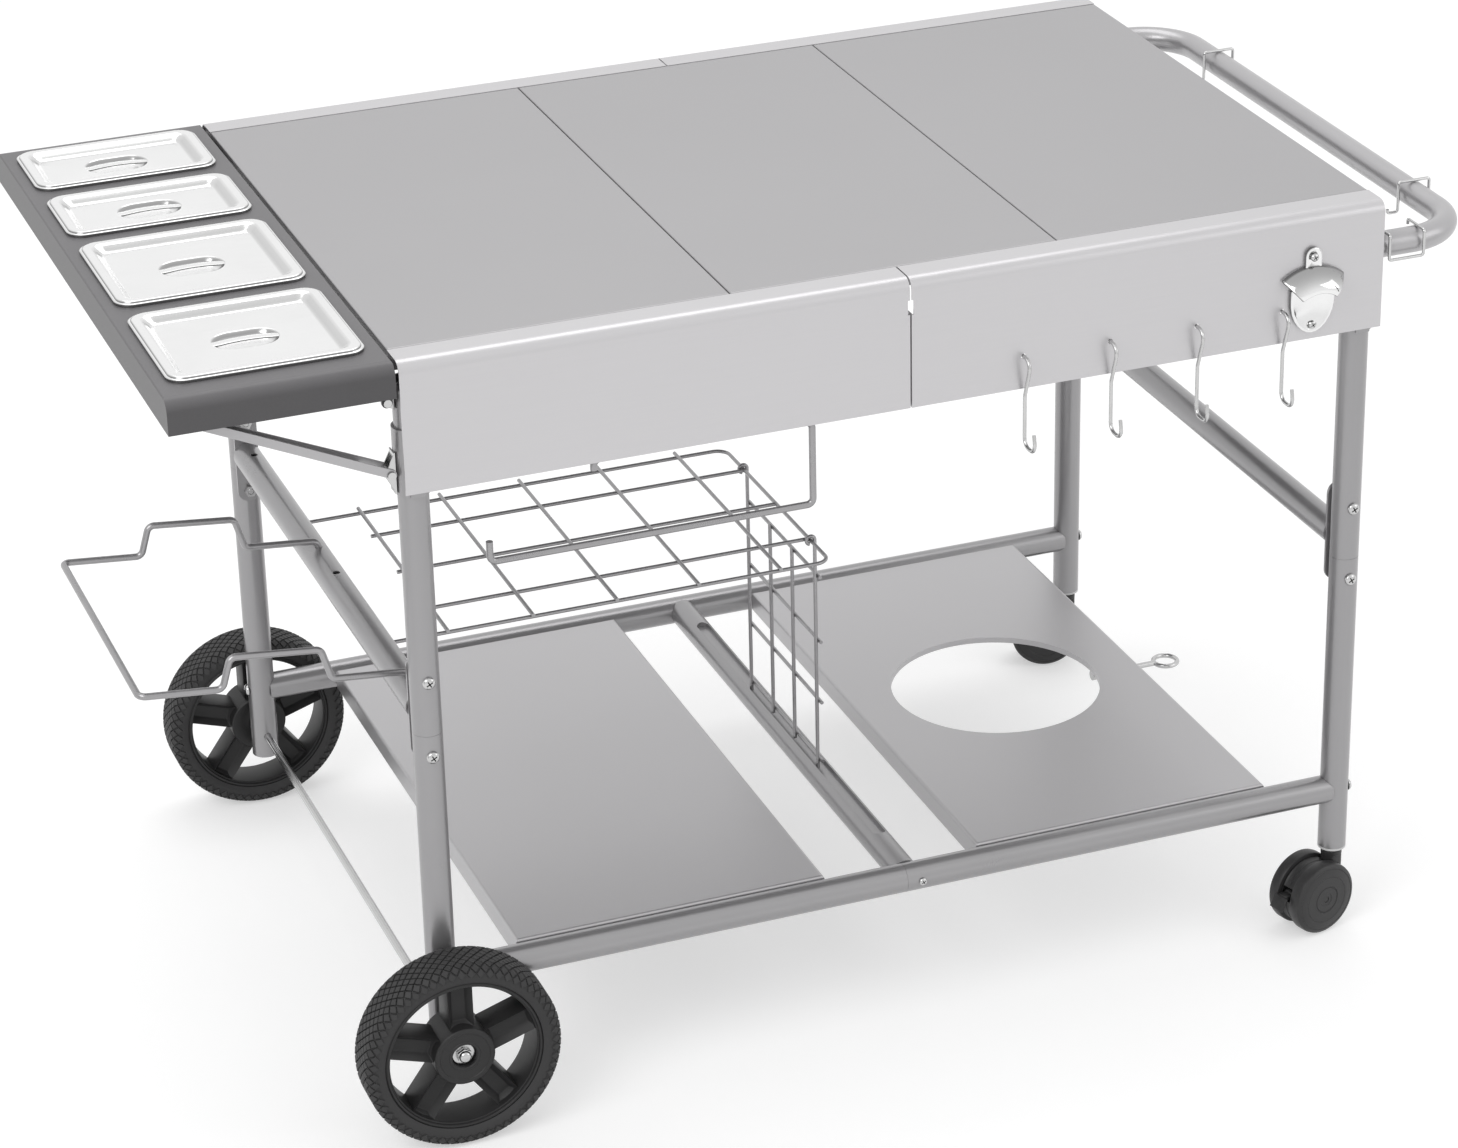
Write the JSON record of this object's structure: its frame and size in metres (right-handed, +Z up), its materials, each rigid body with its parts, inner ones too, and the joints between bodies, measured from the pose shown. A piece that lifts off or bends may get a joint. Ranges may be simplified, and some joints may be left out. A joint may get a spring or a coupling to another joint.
{
  "type": "grill prep cart",
  "caption": "Rolling steel prep cart with a three-panel top, folding side tray of covered food pans, lower shelves, wire rack, bag holder, push handle and hooks.",
  "frame": {"origin": "bottom centre of the bounding box, on the floor", "axes": "+X along the cart from the side tray towards the push handle, +Y from the hook side to the back, +Z up"},
  "size_m": [1.313, 0.772, 0.7742],
  "materials": {
    "panel_steel": "satin",
    "frame_paint": "satin",
    "tray_paint": "satin",
    "lid_steel": "polished",
    "wire_plating": "satin",
    "fasteners": "polished",
    "opener_chrome": "polished",
    "tyre_rubber": "matte",
    "hub_plastic": "satin",
    "caster_plastic": "satin",
    "plug_plastic": "gloss"
  },
  "bodies": {
    "frame": {"left_panel": "panel_steel", "middle_panel": "panel_steel", "right_panel": "panel_steel", "front_left_apron": "panel_steel", "front_right_apron": "panel_steel", "back_aprons": "panel_steel", "leg_sockets": "frame_paint", "upper_legs": "frame_paint", "lower_legs": "frame_paint", "left_cross_tube": "frame_paint", "right_cross_tube": "frame_paint", "frame_bolts": "fasteners", "frame_nuts": "fasteners", "front_rails": "frame_paint", "back_rails": "frame_paint", "middle_tube": "frame_paint", "left_shelf": "frame_paint", "right_shelf": "frame_paint", "small_screws": "fasteners", "wire_rack": "wire_plating", "wire_grid": "wire_plating", "towel_bar": "wire_plating", "axle": "fasteners", "wheel_nuts": "fasteners", "caster_sockets": "plug_plastic", "handle": "frame_paint", "bottle_opener": "opener_chrome", "tray_brackets": "fasteners", "tray_pins": "fasteners"},
    "front_wheel": {"front_tyre": "tyre_rubber", "front_hub": "hub_plastic"},
    "back_wheel": {"back_tyre": "tyre_rubber", "back_hub": "hub_plastic"},
    "front_caster": {"front_caster_body": "caster_plastic"},
    "back_caster": {"back_caster_body": "caster_plastic"},
    "front_caster_pair": {"front_caster_wheels": "caster_plastic"},
    "back_caster_pair": {"back_caster_wheels": "caster_plastic"},
    "front_brake": {"front_brake_lever": "caster_plastic"},
    "back_brake": {"back_brake_lever": "caster_plastic"},
    "tray": {"side_tray": "tray_paint"},
    "front_stay": {"front_strut": "wire_plating"},
    "back_stay": {"back_strut": "wire_plating"},
    "bag_frame": {"bag_holder": "wire_plating"},
    "clamp_bolt": {"eyebolt": "fasteners"},
    "back_hanging_hook": {"back_hanger": "wire_plating"},
    "front_hanging_hook": {"front_hanger": "wire_plating"},
    "corner_hanging_hook": {"corner_hanger": "wire_plating"},
    "first_food_pan": {"first_pan": "lid_steel"},
    "first_cover": {"first_lid": "lid_steel"},
    "first_s_hook": {"first_hook": "wire_plating"},
    "second_food_pan": {"second_pan": "lid_steel"},
    "second_cover": {"second_lid": "lid_steel"},
    "second_s_hook": {"second_hook": "wire_plating"},
    "third_food_pan": {"third_pan": "lid_steel"},
    "third_cover": {"third_lid": "lid_steel"},
    "third_s_hook": {"third_hook": "wire_plating"},
    "fourth_food_pan": {"fourth_pan": "lid_steel"},
    "fourth_cover": {"fourth_lid": "lid_steel"},
    "fourth_s_hook": {"fourth_hook": "wire_plating"}
  },
  "joints": [
    {"name": "front_wheel_spin", "type": "hinge", "parent": "frame", "child": "front_wheel", "pos_m": [-0.4045, -0.359, 0.095], "axis": [0, 1, 0], "continuous": true},
    {"name": "front_caster_swivel", "type": "hinge", "parent": "frame", "child": "front_caster", "pos_m": [0.522, -0.316, 0.08], "axis": [0, 0, 1], "continuous": true},
    {"name": "front_caster_roll", "type": "hinge", "parent": "front_caster", "child": "front_caster_pair", "pos_m": [0.49737, -0.3226, 0.0375], "axis": [-0.2588, 0.9659, 0], "continuous": true},
    {"name": "front_brake_press", "type": "hinge", "parent": "front_caster", "child": "front_brake", "pos_m": [0.47129, -0.32959, 0.0435], "axis": [0.2588, -0.9659, 0], "range_deg": [0, 20]},
    {"name": "front_stay_turn", "type": "hinge", "parent": "frame", "child": "front_stay", "pos_m": [-0.4255, -0.316, 0.662], "axis": [0, -1, 0], "range_deg": [0, 114.5]},
    {"name": "back_wheel_spin", "type": "hinge", "parent": "frame", "child": "back_wheel", "pos_m": [-0.4045, 0.359, 0.095], "axis": [0, 1, 0], "continuous": true},
    {"name": "back_caster_swivel", "type": "hinge", "parent": "frame", "child": "back_caster", "pos_m": [0.522, 0.316, 0.08], "axis": [0, 0, 1], "continuous": true},
    {"name": "back_caster_roll", "type": "hinge", "parent": "back_caster", "child": "back_caster_pair", "pos_m": [0.49737, 0.3226, 0.0375], "axis": [0.2588, 0.9659, 0], "continuous": true},
    {"name": "back_brake_press", "type": "hinge", "parent": "back_caster", "child": "back_brake", "pos_m": [0.47129, 0.32959, 0.0435], "axis": [-0.2588, -0.9659, 0], "range_deg": [0, 20]},
    {"name": "back_stay_turn", "type": "hinge", "parent": "frame", "child": "back_stay", "pos_m": [-0.4255, 0.316, 0.662], "axis": [0, -1, 0], "range_deg": [0, 114.5]},
    {"name": "tray_fold", "type": "hinge", "parent": "frame", "child": "tray", "pos_m": [-0.4255, 0, 0.731], "axis": [0, -1, 0], "range_deg": [0, 90]},
    {"name": "first_pan_lift", "type": "slide", "parent": "tray", "child": "first_food_pan", "axis": [0, 0, 1], "range_m": [0, 0.05]},
    {"name": "first_lid_lift", "type": "slide", "parent": "first_food_pan", "child": "first_cover", "axis": [0, 0, 1], "range_m": [0, 0.03]},
    {"name": "first_hook_swing", "type": "hinge", "parent": "frame", "child": "first_s_hook", "pos_m": [0.1725, -0.3344, 0.677], "axis": [-1, 0, 0], "range_deg": [0, 25]},
    {"name": "second_pan_lift", "type": "slide", "parent": "tray", "child": "second_food_pan", "axis": [0, 0, 1], "range_m": [0, 0.05]},
    {"name": "second_lid_lift", "type": "slide", "parent": "second_food_pan", "child": "second_cover", "axis": [0, 0, 1], "range_m": [0, 0.03]},
    {"name": "second_hook_swing", "type": "hinge", "parent": "frame", "child": "second_s_hook", "pos_m": [0.2595, -0.3344, 0.677], "axis": [-1, 0, 0], "range_deg": [0, 25]},
    {"name": "third_pan_lift", "type": "slide", "parent": "tray", "child": "third_food_pan", "axis": [0, 0, 1], "range_m": [0, 0.05]},
    {"name": "third_lid_lift", "type": "slide", "parent": "third_food_pan", "child": "third_cover", "axis": [0, 0, 1], "range_m": [0, 0.03]},
    {"name": "third_hook_swing", "type": "hinge", "parent": "frame", "child": "third_s_hook", "pos_m": [0.3475, -0.3344, 0.677], "axis": [-1, 0, 0], "range_deg": [0, 25]},
    {"name": "fourth_pan_lift", "type": "slide", "parent": "tray", "child": "fourth_food_pan", "axis": [0, 0, 1], "range_m": [0, 0.05]},
    {"name": "fourth_lid_lift", "type": "slide", "parent": "fourth_food_pan", "child": "fourth_cover", "axis": [0, 0, 1], "range_m": [0, 0.03]},
    {"name": "fourth_hook_swing", "type": "hinge", "parent": "frame", "child": "fourth_s_hook", "pos_m": [0.4355, -0.3344, 0.677], "axis": [-1, 0, 0], "range_deg": [0, 25]},
    {"name": "bag_frame_lift", "type": "slide", "parent": "frame", "child": "bag_frame", "axis": [0, 0, 1], "range_m": [0, 0.04]},
    {"name": "clamp_bolt_travel", "type": "slide", "parent": "frame", "child": "clamp_bolt", "axis": [1, 0, 0], "range_m": [-0.02, 0.03]},
    {"name": "back_hanger_slide", "type": "slide", "parent": "frame", "child": "back_hanging_hook", "axis": [0, 1, 0], "range_m": [-0.19, 0.035]},
    {"name": "front_hanger_slide", "type": "slide", "parent": "frame", "child": "front_hanging_hook", "axis": [0, 1, 0], "range_m": [-0.03, 0.18]},
    {"name": "corner_hanger_slide", "type": "slide", "parent": "frame", "child": "corner_hanging_hook", "axis": [1, 0, 0], "range_m": [-0.004, 0.006]}
  ],
  "couplings": [
    {"joint": "front_stay_turn", "follows": "tray_fold", "ratio": 1.272},
    {"joint": "back_stay_turn", "follows": "tray_fold", "ratio": 1.272}
  ]
}
